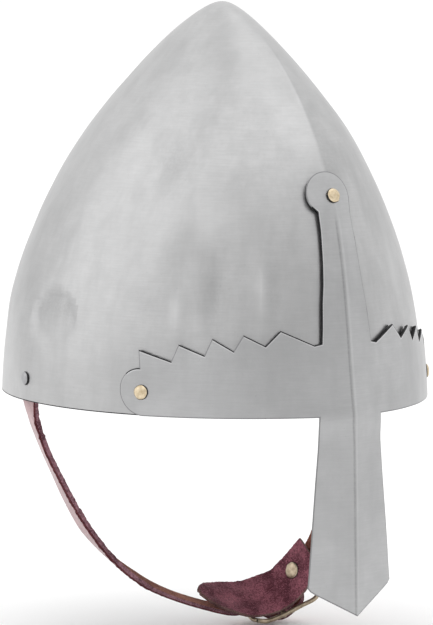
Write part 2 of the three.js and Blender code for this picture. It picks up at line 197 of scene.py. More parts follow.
# %% [markdown]
# ## Satin steel
# The skull and the plate are mild steel that was sanded and buffed by hand. What tells it from
# chrome is a broad, milky gloss with faint level strokes from the belt, soft clouds where the
# buffing wheel stayed longer, and thin darker streaks running down the sheet. The strokes are
# noise stretched along the sheet; the clouds and streaks move the colour and the roughness.

# %% Steel for the skull, the plate and the strap rivets
def steel_finish(name, tone, gloss, streak):
    f = new_finish(name)
    cloud = f.noise(f.place(), 16, 3, 0.55)
    mottle = f.noise(f.place(), 105, 4, 0.65)
    drift = f.noise(f.place((1, 1, 0.22)), 60, 4, 0.62)
    stroke = f.noise(f.place((0.05, 0.05, 1)), 1500, 3, 0.7)
    fleck = f.noise(f.place(), 900, 2, 0.5)
    bright = tuple(c * 1.05 for c in tone)
    dull = tuple(c * 0.9 for c in tone)
    clouds = f.mix(f.ramp(cloud, (0.35, 0.0), (0.68, 1.0)), dull, bright)
    clouds = f.mix(f.ramp(mottle, (0.36, 0.22), (0.64, 0.0)), clouds, tuple(c * 0.7 for c in tone))
    clouds = f.mix(f.ramp(stroke, (0.40, 0.2), (0.62, 0.0)), clouds, tuple(c * 0.7 for c in tone))
    streaks = f.mix(f.ramp(drift, (0.46, 0.0), (0.72, 1.0)) * streak, clouds,
                    tuple(c * 0.72 for c in tone))
    colour = f.mix(f.ramp(fleck, (0.7, 0.0), (0.78, 0.35)), streaks, tuple(c * 0.6 for c in tone))
    # The stored number paints light and shade: above zero it is painted shade, speckled like grime, and
    # below zero it is a painted highlight.
    stain = f.node("ShaderNodeAttribute", {"attribute_name": "stain"}, output=2)
    colour = f.mix(stain * f.ramp(fleck, (0.3, 0.5), (0.62, 0.8)), colour, tuple(c * 0.3 for c in tone))
    colour = f.mix(stain * -1.0, colour, tuple(c * 1.35 for c in tone))
    rough = gloss + (cloud - 0.5) * 0.12 + (stroke - 0.5) * 0.12 + (drift - 0.5) * 0.08
    grain = f.bump(stroke, 0.00004, 0.5)
    waves = f.bump(mottle, 0.0005, 0.3, grain)
    return f.surface(Base_Color=colour, Roughness=rough, Metallic=1.0, Normal=waves)


skull_steel = steel_finish("skull_steel", (0.49, 0.49, 0.492), 0.34, 0.5)
plate_steel = steel_finish("plate_steel", (0.465, 0.466, 0.47), 0.34, 0.4)
rivet_steel = steel_finish("rivet_steel", (0.42, 0.42, 0.43), 0.36, 0.2)
# Three finishes that paint light and shade: near-black steel is painted shade in gaps and on shaded rims,
# mid grey is a lighter painted shade along the plate's other edges, pale steel is a painted highlight
# line.
painted_shade_steel = steel_finish("painted_shade_steel", (0.035, 0.035, 0.037), 0.5, 0.2)
half_shade_steel = steel_finish("half_shade_steel", (0.27, 0.27, 0.275), 0.4, 0.2)
painted_highlight_steel = steel_finish("painted_highlight_steel", (0.6, 0.6, 0.605), 0.3, 0.2)
print("steel finishes:", skull_steel.name, plate_steel.name, rivet_steel.name)

# %% [markdown]
# ## Brass
# The three rivets that hold the brow plate are yellow brass, closed with a hammer, so their heads are pale
# where they were struck and browner in patches. The ring round each head next to the plate is painted
# shade, in near-black steel. The buckle is thin brass plating, duller than the rivets.

# %% Brass for rivets and buckle
def brass_finish(name, pale, deep, gloss):
    f = new_finish(name)
    tarnish = f.noise(f.place(), 420, 3, 0.6)
    pits = f.noise(f.place(), 1900, 2, 0.5)
    colour = f.mix(f.ramp(tarnish, (0.38, 0.0), (0.7, 1.0)), pale, deep)
    rough = gloss + (tarnish - 0.5) * 0.2
    return f.surface(Base_Color=colour, Roughness=rough, Metallic=1.0, Normal=f.bump(pits, 0.0001, 0.35))


rivet_brass = brass_finish("rivet_brass", (0.72, 0.61, 0.44), (0.5, 0.4, 0.26), 0.36)
buckle_brass = brass_finish("buckle_brass", (0.5, 0.41, 0.3), (0.27, 0.215, 0.15), 0.36)
print("brass finishes:", rivet_brass.name, buckle_brass.name)

# %% [markdown]
# ## Leather and suede
# The strap is split leather: a glazed outer face that shines pinkish where it catches the light,
# a brown flesh side, and fuzzy cut edges that stay dark purple, darkest next to the glaze. The
# leaf under the buckle is suede on both faces, with nap that lies in blotches.

# %% Glazed leather, raw edge and suede
def glazed_leather():
    f = new_finish("strap_glazed")
    mottle = f.noise(f.place(), 110, 4, 0.6)
    worn = f.noise(f.place(), 420, 3, 0.65)
    pores = f.node("ShaderNodeTexVoronoi", {}, {"Vector": f.place(), "Scale": 1300.0})
    colour = f.mix(f.ramp(mottle, (0.34, 0.0), (0.68, 1.0)), (0.21, 0.085, 0.095), (0.37, 0.19, 0.2))
    colour = f.mix(f.ramp(worn, (0.5, 0.0), (0.7, 0.7)), colour, (0.5, 0.31, 0.31))
    rough = 0.42 + (worn - 0.5) * 0.3
    grain = f.bump(pores, 0.00012, 0.5)
    return f.surface(Base_Color=colour, Roughness=rough, Normal=f.bump(worn, 0.0003, 0.3, grain),
                     Coat_Weight=0.45, Coat_Roughness=0.28)


def raw_leather(name, deep, pale, nap_scale, sheen):
    f = new_finish(name)
    blotch = f.noise(f.place(), 95, 4, 0.62)
    nap = f.noise(f.place(), nap_scale, 4, 0.7)
    fibre = f.noise(f.place((1, 0.35, 1)), nap_scale * 2.6, 3, 0.7)
    colour = f.mix(f.ramp(blotch, (0.38, 0.0), (0.62, 1.0)), deep, pale)
    colour = f.mix(f.ramp(nap, (0.4, 0.0), (0.62, 1.0)) * 0.7, colour, tuple(c * 0.4 for c in deep))
    colour = f.mix(f.ramp(fibre, (0.52, 0.0), (0.72, 0.75)), colour, tuple(c * 1.7 for c in pale))
    fuzz = f.bump(nap, 0.0007, 0.7, f.bump(fibre, 0.0003, 0.6))
    return f.surface(Base_Color=colour, Roughness=0.95, Normal=fuzz, Sheen_Weight=sheen,
                     Sheen_Roughness=0.5, Specular_IOR_Level=0.15)


strap_glazed = glazed_leather()
strap_flesh = raw_leather("strap_flesh", (0.2, 0.07, 0.05), (0.42, 0.18, 0.125), 1000, 0.0)
strap_raw = raw_leather("strap_raw", (0.1, 0.04, 0.052), (0.33, 0.17, 0.2), 620, 0.05)
strap_dark = raw_leather("strap_dark", (0.075, 0.016, 0.02), (0.14, 0.045, 0.05), 700, 0.0)
chafe_suede = raw_leather("chafe_suede", (0.1, 0.024, 0.038), (0.38, 0.13, 0.17), 950, 0.1)
cut_edge = raw_leather("chafe_edge", (0.12, 0.055, 0.055), (0.28, 0.17, 0.155), 1200, 0.05)
print("leather finishes:", strap_glazed.name, strap_raw.name, chafe_suede.name, cut_edge.name)

# %% [markdown]
# ## From a mesh to a piece
# Everything is drawn in millimetres and turned into metres once, when a mesh becomes an object.
# Each piece rides on the helmet, hides the CAD node it stands for, and keeps its origin at the frame's
# origin. Smooth shading is broken only where an edge is really sharp.

# %% Make a piece
def new_piece(name, bm, stands_for, finishes, sharp=40):
    bmesh.ops.scale(bm, vec=(MM, MM, MM), verts=bm.verts)
    bm.normal_update()
    for face in bm.faces:
        face.smooth = True
    for edge in bm.edges:
        if len(edge.link_faces) == 2 and edge.calc_face_angle(0) > math.radians(sharp):
            edge.smooth = False
    mesh = bpy.data.meshes.new(name)
    bm.to_mesh(mesh)
    bm.free()
    for finish in finishes:
        mesh.materials.append(finish)
    piece = bpy.data.objects.new(name, mesh)
    bpy.context.scene.collection.objects.link(piece)
    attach(piece, "root")
    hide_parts(*stands_for)
    print(f"{name}: {len(mesh.polygons)} faces")
    return piece


def thicken(piece, thickness, rim_finish=0):
    wall = piece.modifiers.new("wall", "SOLIDIFY")
    wall.thickness = thickness * MM
    wall.offset = -1
    wall.use_even_offset = True
    wall.material_offset_rim = rim_finish


def round_edges(piece, width, angle):
    rounding = piece.modifiers.new("rounding", "BEVEL")
    rounding.width = width * MM
    rounding.segments = 2
    rounding.limit_method = "ANGLE"
    rounding.angle_limit = math.radians(angle)
    rounding.use_clamp_overlap = True
    rounding.harden_normals = True


# %% [markdown]
# ## The form of the skull
# The skull is raised from one sheet: an oval at the rim that closes in a long curve to a blunt
# point a little forward of the middle. The smith leaves a ridge down the front, which is sharp
# at the brow and dies away just under the point. Two curves, one for the side and one for the
# front, give the half widths at every height, and the plate and its rivets are placed from
# them. The terms of both curves come from the same fit as the camera, and were rounded.

# %% Points and directions on the skull
HALF_WIDTH = 101.6
HALF_LENGTH = 116
SKULL_HEIGHT = 195.7
SHEET = 1.6
KEEL = 6.6
APEX_SHIFT = -9.9
KEEL_FADE = 0.15
SIDE_CURVE = (0.60, -0.96, 5.43, -5.22, 1.15)
FRONT_CURVE = (0.59, 1.51, 1.52, -5.50, 2.88)


def smooth(a):
    a = min(max(a, 0.0), 1.0)
    return a * a * (3 - 2 * a)


def curve_at(terms, t):
    return sum(term * t ** (power + 1) for power, term in enumerate(terms))


def skull_point(turn, z):
    t = math.sqrt(max(1 - z / SKULL_HEIGHT, 0))
    wide = curve_at(SIDE_CURVE, t)
    deep = curve_at(FRONT_CURVE, t)
    front = math.cos(turn)
    side = abs(math.sin(turn))
    keel = KEEL * smooth(t * t / KEEL_FADE) * (1 - side) ** 2 if front > 0 else 0
    y = -(HALF_LENGTH * front + keel)
    return Vector((HALF_WIDTH * math.sin(turn) * wide, APEX_SHIFT * (1 - deep) + y * deep, z))


def skull_normal(turn, z):
    low = min(z, SKULL_HEIGHT - 0.02)
    step = 1e-3 if turn >= 0 else -1e-3
    along = (skull_point(turn + step, low) - skull_point(turn, low)) * math.copysign(1, step)
    rise = skull_point(turn, low + 1e-3) - skull_point(turn, low - 1e-3)
    normal = along.cross(rise).normalized()
    if abs(turn) > 1e-6:
        return normal
    ridge = Vector((0, normal.y, normal.z)).normalized()
    return ridge / max(ridge.dot(normal), 0.8)


def on_skull(turn, z, offset):
    return skull_point(turn, z) + skull_normal(turn, z) * offset


@lru_cache(maxsize=None)
def walk_round(z):
    """Arc distances from the ridge at one height, for every hundredth of a radian of turn."""
    walked = [0.0]
    for i in range(170):
        walked.append(walked[-1] + (skull_point(0.01 * (i + 1), z) - skull_point(0.01 * i, z)).length)
    return walked


def turn_at(arc, z):
    walked = walk_round(round(z, 2))
    place = next(i for i, far in enumerate(walked) if far >= abs(arc))
    if place == 0:
        return 0.0
    before = walked[place - 1]
    share = (abs(arc) - before) / (walked[place] - before)
    return math.copysign(0.01 * (place - 1 + share), arc)


print("rim half width and length, mm:", HALF_WIDTH, round(-skull_point(0, 0).y, 1))

# %% [markdown]
# ## The skull
# Spinning a profile gives a clean net of rows and columns, and each corner of that net is then
# moved to its place on the skull. Hand raising leaves traces: broad soft swells, shallow
# flutes that run down the front quarter, and one dent with a clear upper lip above the strap
# rivet. They are real changes of the surface, a millimetre or so deep, because satin
# steel shows such things through its reflections.

# %% Marks of the hammer, in millimetres outwards
SWELL_GAIN = 1.8
SWELLS = [
    # turn, height, reach along, reach up, depth
    (-0.74, 56, 7, 22, 0.5),
    (-0.62, 62, 6, 26, -0.55),
    (-0.42, 62, 4, 26, 0.4),
    (-0.33, 58, 5, 30, -0.4),
    (-0.52, 80, 8, 30, -0.35),
    (-0.85, 84, 15, 36, 0.4),
    (-0.99, 119, 14, 20, -0.4),
    (-1.3, 132, 12, 16, 0.35),
    (-0.2, 130, 12, 30, -0.3),
    (0.42, 92, 14, 36, -0.5),
    (0.62, 120, 16, 30, 0.4),
    (1.2, 60, 22, 26, -0.6),
    (1.75, 96, 24, 28, 0.5),
    (2.4, 50, 24, 24, -0.7),
    (2.9, 110, 24, 30, 0.5),
    (-2.6, 84, 26, 30, -0.6),
    (-2.1, 46, 22, 22, 0.5),
]
swells = [(skull_point(turn, height), along, up, depth) for turn, height, along, up, depth in SWELLS]
DENT = skull_point(-1.5, 38)
DENT_REACH = 21
DENT_DEPTH = 1.3


def dent(point):
    """A shallow hollow whose upper lip is crisp and whose lower side fades out."""
    rise = (point.z - DENT.z) / DENT_REACH
    far = (point - DENT).length / DENT_REACH
    lip = 0.24 + 0.66 * smooth((0.35 - rise) / 0.8)
    return -DENT_DEPTH * smooth((1 - far) / lip)


def hammer_marks(point, turn):
    swell = noise.noise(point * 0.021) * 0.7 + noise.noise(point * 0.055 + Vector((7, 3, 1))) * 0.22
    for place, along, up, depth in swells:
        reach = (point - place).to_2d().length / along
        rise = (point.z - place.z) / up
        far = reach * reach + rise * rise
        if far < 9:
            swell += SWELL_GAIN * depth * math.exp(-far)
    settled = smooth(point.z / 14) * smooth((SKULL_HEIGHT - point.z) / 30)
    ridge = smooth(abs(turn) / 0.09)
    return (swell * (0.12 + 0.88 * settled) + dent(point)) * (0.25 + 0.75 * ridge)


# %% Spin a profile and shape it
ROWS = 110
COLUMNS = 288
RIM_SHADE_LINE = 0.5               # height of the painted shade band along the rim
RIDGE_TOP = 172               # the ridge is a crisp edge up to here
row_shares = [i / ROWS for i in range(ROWS)] + [math.sqrt(1 - RIM_SHADE_LINE / SKULL_HEIGHT), 1]

bm = bmesh.new()
profile = [bm.verts.new((0, -i, 0)) for i in range(len(row_shares))]
for low, high in zip(profile, profile[1:]):
    bm.edges.new((low, high))
bmesh.ops.spin(bm, geom=bm.verts[:] + bm.edges[:], cent=(0, 0, 0), axis=(0, 0, 1), dvec=(0, 0, 0),
               angle=2 * math.pi, steps=COLUMNS, use_merge=True, use_duplicate=False)
bmesh.ops.remove_doubles(bm, verts=bm.verts, dist=1e-4)
# The lowest band of the skull gets the near-black finish: painted shade along the rim.
for face in bm.faces:
    face.material_index = 1 if face.calc_center_median().length > ROWS + 0.3 else 0
for corner in bm.verts:
    t = row_shares[round(corner.co.length)]
    column = round(math.atan2(corner.co.x, -corner.co.y) / (2 * math.pi) * COLUMNS)
    turn = 2 * math.pi * column / COLUMNS
    z = max(SKULL_HEIGHT * (1 - t * t), 0)
    marks = hammer_marks(skull_point(turn, z), turn)
    corner.co = on_skull(turn, z, marks) if t > 0 else Vector((0, APEX_SHIFT, z))
for edge in bm.edges:
    edge.smooth = not all(abs(c.co.x) < 0.05 and c.co.y < 0 and c.co.z < RIDGE_TOP for c in edge.verts)
bmesh.ops.recalc_face_normals(bm, faces=bm.faces)
skull = new_piece("helmet_skull", bm, ["skull"], [skull_steel, painted_shade_steel], sharp=9)
# The cut rim of the sheet gets the same painted shade.
thicken(skull, SHEET, rim_finish=1)
round_edges(skull, 0.35, 60)

# %% [markdown]
# ## The brow plate
# One sheet makes the saw-edged brow band, the stem up the ridge and the nose guard. A smith
# cuts it flat, files the teeth, then bends it cold round the skull. The model is made in the
# same order: a flat outline, cut by many level and upright planes so that it can bend, then
# every corner is carried to its place and the sheet gets its thickness. The corners of the
# outline were measured on the fitted skull and rounded to a tenth of a millimetre.

# %% The outline, as arc distance from the ridge and height
PLATE_GAP = 0.4
TAB_RADIUS = 11.2
TAB_ARC = 101.4
STEM_HEAD_RADIUS = 11.8
STEM_HEAD_HEIGHT = 102.7
STEM_NECK = (9.1, 95.2)
STEM_SIDE = [(14.2, 34.5), (13.5, 41.5), (12.6, 53), (11.4, 62), (10.6, 71), (10, 79), (9.4, 87)]
TEETH = [(17.6, 33.8), (33.3, 40.9), (40.8, 33.9), (50.6, 38.9), (55.7, 31.5), (65.2, 37.2),
         (69.4, 29.3), (81.3, 34.1), (85.5, 26.1), (101.4, 31)]
NOSE_TOP_HALF = 17.8
NOSE_LOW_HALF = 24.8
NOSE_LOW = -79
NOSE_CORNER = (20.6, -84)
NOSE_TIP = -95
CREASE_HALF = 0.8
CREASE_RISE = 0.17
HEAD_SHIFT = -1.7             # the round head sits a little to the wearer's right
HEAD_FOOT = 94.5              # height where the shift begins, and the way it takes
SHIFT_WAY = 5
EDGE_DROP = 0.25              # how far the filed edge falls back from the face
EDGE_BAND = 0.55              # the filed edge band, painted shade of the gap where it faces up
HIGHLIGHT_BAND = 0.45            # a painted highlight line just inside it
FACE, SHADED_EDGE, HALF_SHADED_EDGE, HIGHLIGHT_EDGE = range(4)


def arc_points(centre, radius, start, end, count):
    angles = [start + (end - start) * i / count for i in range(count + 1)]
    return [(centre[0] + radius * math.cos(a), centre[1] + radius * math.sin(a)) for a in angles]


def brow_outline():
    tab = arc_points((TAB_ARC, TAB_RADIUS), TAB_RADIUS, -math.pi / 2, math.pi / 2, 22)
    neck = math.atan2(STEM_NECK[1] - STEM_HEAD_HEIGHT, STEM_NECK[0])
    head = arc_points((0, STEM_HEAD_HEIGHT), STEM_HEAD_RADIUS, neck, math.pi / 2, 18)
    corner = [(NOSE_LOW_HALF + 0.1, NOSE_LOW - 1.4), (NOSE_LOW_HALF - 1.2, NOSE_LOW - 3.1)]
    half = [(0, NOSE_TIP), NOSE_CORNER, *reversed(corner), (NOSE_LOW_HALF, NOSE_LOW), (NOSE_TOP_HALF, 0)]
    half += tab + TEETH[::-1] + STEM_SIDE + head
    whole = half + [(-arc, z) for arc, z in reversed(half) if arc > 1e-6]
    return [(arc + HEAD_SHIFT * smooth((z - HEAD_FOOT) / SHIFT_WAY), z) for arc, z in whole]


# %% Cut a flat sheet into cells
def cut_in_cells(bm, spacing, lows, highs):
    for axis in (0, 1):
        direction = Vector((1, 0, 0)) if axis == 0 else Vector((0, 1, 0))
        for i in range(math.ceil(lows[axis] / spacing), math.floor(highs[axis] / spacing) + 1):
            everything = bm.verts[:] + bm.edges[:] + bm.faces[:]
            bmesh.ops.bisect_plane(bm, geom=everything, dist=0.02, plane_co=direction * (i * spacing),
                                   plane_no=direction)


# %% [markdown]
# A filed edge never looks like the face. Where the teeth face up, and down one side of the stem, a
# near-black band is painted shade of the gap between plate and skull, and just inside it runs a painted
# highlight line. Along the other edges the band is mid grey, a lighter painted shade. Two narrow bands
# inset from the outline carry these finishes. A stored number puts painted shade on one side of the middle
# crease and a painted highlight on the other.

# %% Bands along the edges
def band_inside(bm, width, marked, plain):
    """Inset the sheet. The band gets one finish on the teeth and by the stem, another elsewhere."""
    sheet = max(bm.faces, key=lambda face: face.calc_area())
    bands = bmesh.ops.inset_region(bm, faces=[sheet], thickness=width, use_boundary=True,
                                   use_even_offset=True)["faces"]
    inside = set(max(bm.faces, key=lambda face: face.calc_area()).verts)
    for band in bands:
        outer = next(edge for edge in band.edges if not inside & set(edge.verts))
        start, end = [corner.co for corner in outer.verts]
        outwards = (end - start).cross(Vector((0, 0, 1))).normalized()
        if outwards.dot((start + end) / 2 - band.calc_center_median()) < 0:
            outwards = -outwards
        # Bands on the upward tooth edges and beside the stem take the marked finish: painted shade of the
        # gap in the first call, a painted highlight in the second.
        on_teeth = outwards.y > 0.6 and 20 < start.y < 50
        beside_stem = 0 > start.x > -15 and 34 < start.y < 98 and outwards.x < -0.3
        band.material_index = marked if on_teeth or beside_stem else plain


# %% The flat sheet with its bands, cells and crease
CREASE_TOP = 94               # height at which the crease has faded out
CREASE_SHADE = 0.55
CREASE_HIGHLIGHT = 0.16

bm = bmesh.new()
bm.faces.new([bm.verts.new((arc, z, 0)) for arc, z in brow_outline()])
bm.normal_update()
band_inside(bm, EDGE_BAND, SHADED_EDGE, HALF_SHADED_EDGE)
band_inside(bm, HIGHLIGHT_BAND, HIGHLIGHT_EDGE, FACE)
cut_in_cells(bm, 3.2, (-112, -95), (112, 114))
cut_in_cells(bm, CREASE_HALF, (-2 * CREASE_HALF, 0), (2 * CREASE_HALF, 0))
bmesh.ops.remove_doubles(bm, verts=bm.verts, dist=0.05)
stain = bm.verts.layers.float.new("stain")
# Painted shade on the wearer's right of the crease and a painted highlight on its left, fading out towards
# the top.
for corner in bm.verts:
    arc, z = corner.co.x, corner.co.y
    line = max(1 - abs(abs(arc) - CREASE_HALF) / CREASE_HALF, 0) * smooth((CREASE_TOP - z) / 6)
    corner[stain] = (CREASE_SHADE if arc < 0 else -CREASE_HIGHLIGHT) * line
for edge in bm.edges:
    edge.smooth = max(abs(corner.co.x) for corner in edge.verts) > 0.05
print("brow plate cells:", len(bm.faces))

# %% [markdown]
# The plate lies a hair's breadth off the skull. Below the rim it leaves the skull: each half of
# the nose guard is flat, folded back from a middle crease. Round its top rivet the stem was
# beaten half flat, so the crease starts below the rivet.

# %% Carry the cells to their places
BEATEN = 0.5                  # how far the head of the stem was beaten from ridged to flat
NOSE_FOLD = math.radians(15.5)
NOSE_LEAN = 0.03
NOSE_BLEND = 14
PLATE_OUTSIDE = PLATE_GAP + SHEET

stem_seat = skull_point(0, STEM_HEAD_HEIGHT)
stem_axis = skull_normal(0, STEM_HEAD_HEIGHT).normalized()
stem_up = Vector((-1, 0, 0)).cross(stem_axis).normalized()


def plate_swell(arc, z):
    spot = Vector((arc * 0.05, z * 0.03, 4))
    return 0.35 * noise.noise(spot) + 0.12 * noise.noise(spot * 2.7)


def brow_place(arc, z, on_edge):
    held = max(z, 0)
    swell = plate_swell(arc, z) * smooth(abs(arc) / 10)
    crease = CREASE_RISE * max(1 - abs(arc) / CREASE_HALF, 0)
    offset = PLATE_OUTSIDE + 0.15 + max(swell, -0.2) + crease - (EDGE_DROP if on_edge else 0)
    point = on_skull(turn_at(arc, held), held, offset)
    if z < 0:
        front = skull_point(0, 0).y - offset / math.cos(NOSE_FOLD) + NOSE_LEAN * z
        flat = Vector((arc * math.cos(NOSE_FOLD), front + abs(arc) * math.sin(NOSE_FOLD), z))
        point.z = z
        return point.lerp(flat, smooth(-z / NOSE_BLEND))
    beaten = smooth((z - 92) / 9) * BEATEN
    rise = z - STEM_HEAD_HEIGHT
    sag = -0.011 * arc * arc - 0.0035 * rise * rise
    flat = stem_seat + stem_axis * (PLATE_OUTSIDE + 0.25 + sag) + Vector((arc, 0, 0)) + stem_up * rise
    return point.lerp(flat, beaten)


for corner in bm.verts:
    corner.co = brow_place(corner.co.x, corner.co.y, corner.is_boundary)
bmesh.ops.recalc_face_normals(bm, faces=bm.faces)
if sum((face.normal.y * face.calc_area() for face in bm.faces)) > 0:
    bmesh.ops.reverse_faces(bm, faces=bm.faces)
brow_plate = new_piece("brow_plate_sheet", bm, ["brow_plate"],
                       [plate_steel, painted_shade_steel, half_shade_steel, painted_highlight_steel], sharp=24)
thicken(brow_plate, SHEET)
round_edges(brow_plate, 0.22, 55)

# %% [markdown]
# Beside the plate, in the notches of the saw edge and along the stem, the skull gets painted shade of the
# gap between the parts, with some grime. The dent's hollow gets painted shade, and soft patches and the
# two slopes beside the upper ridge get painted reflections, some darker and some lighter. Each corner of
# the skull stores one number: above zero it is painted shade, speckled like grime, and below zero it is a
# painted highlight.

# %% How much painted shade or highlight each place gets
def far_from(spot, outline):
    nearest = 1e9
    for a, b in zip(outline, outline[1:] + outline[:1]):
        side = b - a
        share = min(max((spot - a).dot(side) / side.length_squared, 0), 1)
        nearest = min(nearest, (spot - a - side * share).length)
    return nearest


REFLECTION_PATCHES = [
    # turn, height, reach along, reach up, painted shade (below zero, painted highlight)
    (-0.635, 60, 7, 18, 0.2),
    (-0.524, 70, 4, 22, 0.12),
    (-0.414, 58, 2.2, 30, -0.42),
    (-0.36, 62, 5, 26, 0.16),
    (-0.812, 49, 3, 10, -0.4),
    (-0.99, 119, 12, 18, 0.25),
    (-0.72, 92, 9, 12, -0.2),
    (0.5, 70, 5, 30, -0.3),
]
RIGHT_SLOPE_HIGHLIGHT = -0.2            # painted highlight beside the ridge, on the wearer's right
LEFT_SLOPE_SHADE = 0.34
SLOPE_REACH = 11
DENT_SHADE = 0.34
SHADE_AND_GRIME = 0.14
SHADE_AND_GRIME_REACH = 2
reflection_patches = [(skull_point(turn, height), *rest) for turn, height, *rest in REFLECTION_PATCHES]
plate_line = [Vector(spot) for spot in brow_outline()]


# Painted shade in the dent's hollow, plus patches of painted reflection: painted shade above zero, painted
# highlight below.
def patch_shading(spot):
    dark = -dent(spot) / DENT_DEPTH * smooth((spot.z - DENT.z + 8) / 22) * DENT_SHADE
    for place, along, up, depth in reflection_patches:
        reach = ((spot - place).to_2d().length / along) ** 2 + ((spot.z - place.z) / up) ** 2
        dark += depth * math.exp(-reach) if reach < 9 else 0
    return dark


def slope_shading(spot):
    """Painted highlight on the wearer's right slope beside the upper ridge, painted shade on the left."""
    if spot.y > 0 or spot.z < 90 or abs(spot.x) < 0.3:
        return 0
    fade = math.exp(-abs(spot.x) / SLOPE_REACH) * smooth((RIDGE_TOP - spot.z) / 60)
    return fade * (RIGHT_SLOPE_HIGHLIGHT if spot.x < 0 else LEFT_SLOPE_SHADE)


# Painted shade of the gap beside the plate's outline, fading with distance, with some grime.
def plate_shade_and_grime(spot):
    if spot.y > 12 or not 20 < spot.z < 120:
        return 0
    wide = HALF_WIDTH * curve_at(SIDE_CURVE, math.sqrt(1 - spot.z / SKULL_HEIGHT))
    turn = math.asin(min(max(spot.x / wide, -1), 1))
    arc = math.copysign(walk_round(round(spot.z))[round(abs(turn) * 100)], turn)
    if abs(arc) > 108 or (spot.z > 48 and abs(arc) > 22):
        return 0
    return SHADE_AND_GRIME * math.exp(-far_from(Vector((arc, spot.z)), plate_line) / SHADE_AND_GRIME_REACH)


# %% Store the painted shade, highlight and grime on the skull
stain = skull.data.attributes.new("stain", "FLOAT", "POINT")
for number, corner in enumerate(skull.data.vertices):
    spot = corner.co / MM
    stain.data[number].value = patch_shading(spot) + slope_shading(spot) + plate_shade_and_grime(spot)
print("darkest and brightest stain:", [round(pick(s.value for s in stain.data), 2) for pick in (max, min)])

# %% [markdown]
# ## Rivets
# A rivet is a low round head outside, a shank through both sheets, and a small clinched collar
# inside. Its profile is spun once round its own axis, the head is knocked slightly out of true,
# and the rivet is then stood on its place on the skull.

# %% Spin a rivet and stand it on its seat
SHANK = 1.5
RIVET_GAP = 0.25
BRASS_HEAD = 3.6
STEEL_HEAD = 3.4
HEAD_RISE = 1.7
CLINCH_RADIUS = 3.2
CLINCH = 1.1
HEAD_PROFILE = [(0.25, 0.99), (0.5, 0.93), (0.7, 0.8), (0.84, 0.6), (0.94, 0.36), (1, 0.14), (0.97, 0)]


def rivet_mesh(grip, head, rise, seed):
    bm = bmesh.new()
    profile = [(0, rise)] + [(head * r, rise * h) for r, h in HEAD_PROFILE]
    profile += [(SHANK, 0), (SHANK, -grip), (CLINCH_RADIUS, -grip), (CLINCH_RADIUS, -grip - 0.6 * CLINCH),
                (CLINCH_RADIUS * 0.85, -grip - CLINCH), (0, -grip - CLINCH)]
    corners = [bm.verts.new((r, 0, h)) for r, h in profile]
    for low, high in zip(corners, corners[1:]):
        bm.edges.new((low, high))
    bmesh.ops.spin(bm, geom=bm.verts[:] + bm.edges[:], cent=(0, 0, 0), axis=(0, 0, 1), dvec=(0, 0, 0),
                   angle=2 * math.pi, steps=40, use_merge=True, use_duplicate=False)
    bmesh.ops.remove_doubles(bm, verts=bm.verts, dist=1e-4)
    for corner in bm.verts:
        if corner.co.z > 0.05:
            knock = noise.noise(corner.co * 0.55 + Vector((seed, 0, 0)))
            corner.co *= 1 + 0.05 * knock
    for face in bm.faces:
        spot = face.calc_center_median()
        # The lowest band round the head's edge gets the near-black finish: painted shade of the gap under
        # the head.
        face.material_index = 1 if 0 < spot.z < 0.4 * rise and spot.to_2d().length > 0.9 * head else 0
    bmesh.ops.recalc_face_normals(bm, faces=bm.faces)
    return bm


def stand_on(bm, seat, axis):
    turn = Vector((0, 0, 1)).rotation_difference(axis).to_matrix().to_4x4()
    bmesh.ops.transform(bm, matrix=Matrix.Translation(seat) @ turn, verts=bm.verts)


# %% Seat the brow and stem rivets
brass_seat = PLATE_OUTSIDE + RIVET_GAP
brass_grip = brass_seat + SHEET + RIVET_GAP
turn = turn_at(TAB_ARC, TAB_RADIUS)
BRASS = [
    # name, turn, height, lift of the head off the skull, grip
    ("stem", 0, STEM_HEAD_HEIGHT, brass_seat + 0.15, brass_grip + 1.1),
    ("brow_right", -turn, TAB_RADIUS, brass_seat, brass_grip),
    ("brow_left", turn, TAB_RADIUS, brass_seat, brass_grip),
]
for seed, (where, turn, height, lift, grip) in enumerate(BRASS):
    axis = skull_normal(turn, height).normalized()
    bm = rivet_mesh(grip, BRASS_HEAD, HEAD_RISE, 5 * seed)
    stand_on(bm, skull_point(turn, height) + axis * lift, axis)
    new_piece(f"{where}_rivet", bm, [f"rivet_{where}"], [rivet_brass, painted_shade_steel], sharp=50)

# %% Seat the strap rivets
STRAP_RIVET_ANGLE = 1.665
STRAP_RIVET_HEIGHT = 11.1
LEATHER = 2.4
strap_grip = RIVET_GAP + SHEET + 0.6 + LEATHER + RIVET_GAP + 0.3
for seed, (where, turn) in enumerate([("right", -STRAP_RIVET_ANGLE), ("left", STRAP_RIVET_ANGLE)]):
    axis = skull_normal(turn, STRAP_RIVET_HEIGHT)
    bm = rivet_mesh(strap_grip, STEEL_HEAD, HEAD_RISE, 40 + 5 * seed)
    stand_on(bm, skull_point(turn, STRAP_RIVET_HEIGHT) + axis * RIVET_GAP, axis)
    new_piece(f"strap_{where}_rivet", bm, [f"rivet_strap_{where}"],
              [rivet_steel, painted_shade_steel], sharp=50)

# %% [markdown]
# ## Runs: lines that leather and wire follow
# A strap is easiest to think of as a line that bends in space, with a direction for its width at every
# point. The line passes smoothly through a short list of points. Across it lies the width, and square to
# both lies the inward side, towards the head. The points in view come from sight lines of the fitted
# camera and the long strap's leans from a small search. The hidden points were chosen.

